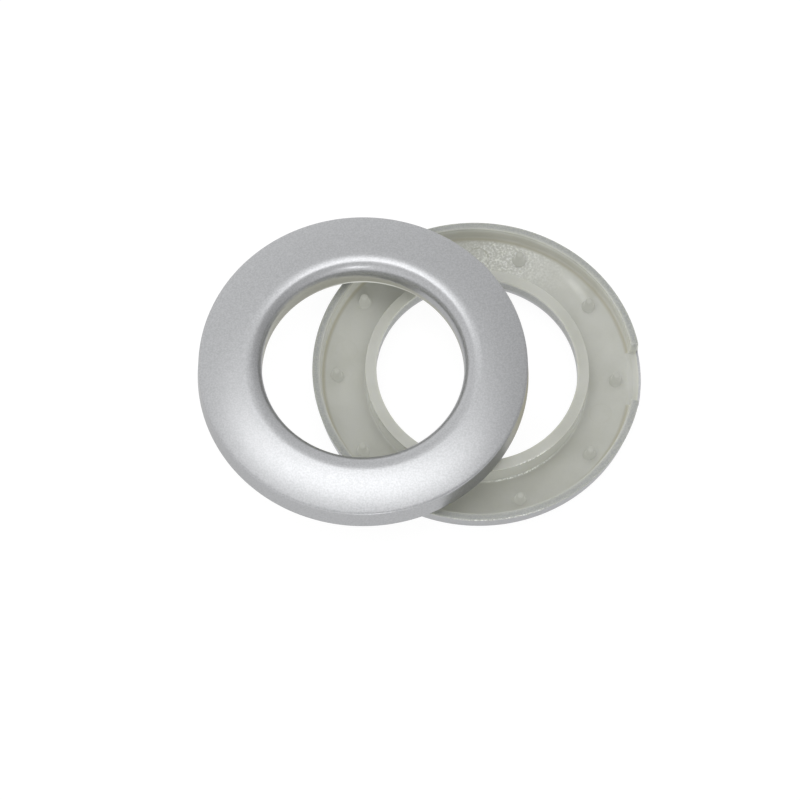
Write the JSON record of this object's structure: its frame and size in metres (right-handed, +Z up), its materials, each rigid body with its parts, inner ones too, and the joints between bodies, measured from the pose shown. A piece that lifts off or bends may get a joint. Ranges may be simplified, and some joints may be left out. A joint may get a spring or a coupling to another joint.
{
  "type": "curtain grommet eyelet",
  "caption": "Round snap-together curtain eyelet in satin silver plastic, taken apart: the front ring lies face up, partly on the upturned back ring.",
  "frame": {"origin": "on the surface under the pair, midway between the axes of the two rings", "axes": "+X from the front ring to the back ring, +Z up; the back ring's axis is upright and the front ring's leans under one degree"},
  "size_m": [0.0883, 0.0656, 0.0155],
  "materials": {
    "silver_paint": "satin silver paint with fine metallic grain, bare plastic on the hidden side",
    "natural_plastic": "bare pale grey-green moulded plastic inside, satin silver paint outside"
  },
  "bodies": {
    "root": {"front_half": "silver_paint", "back_half": "natural_plastic"}
  },
  "joints": []
}
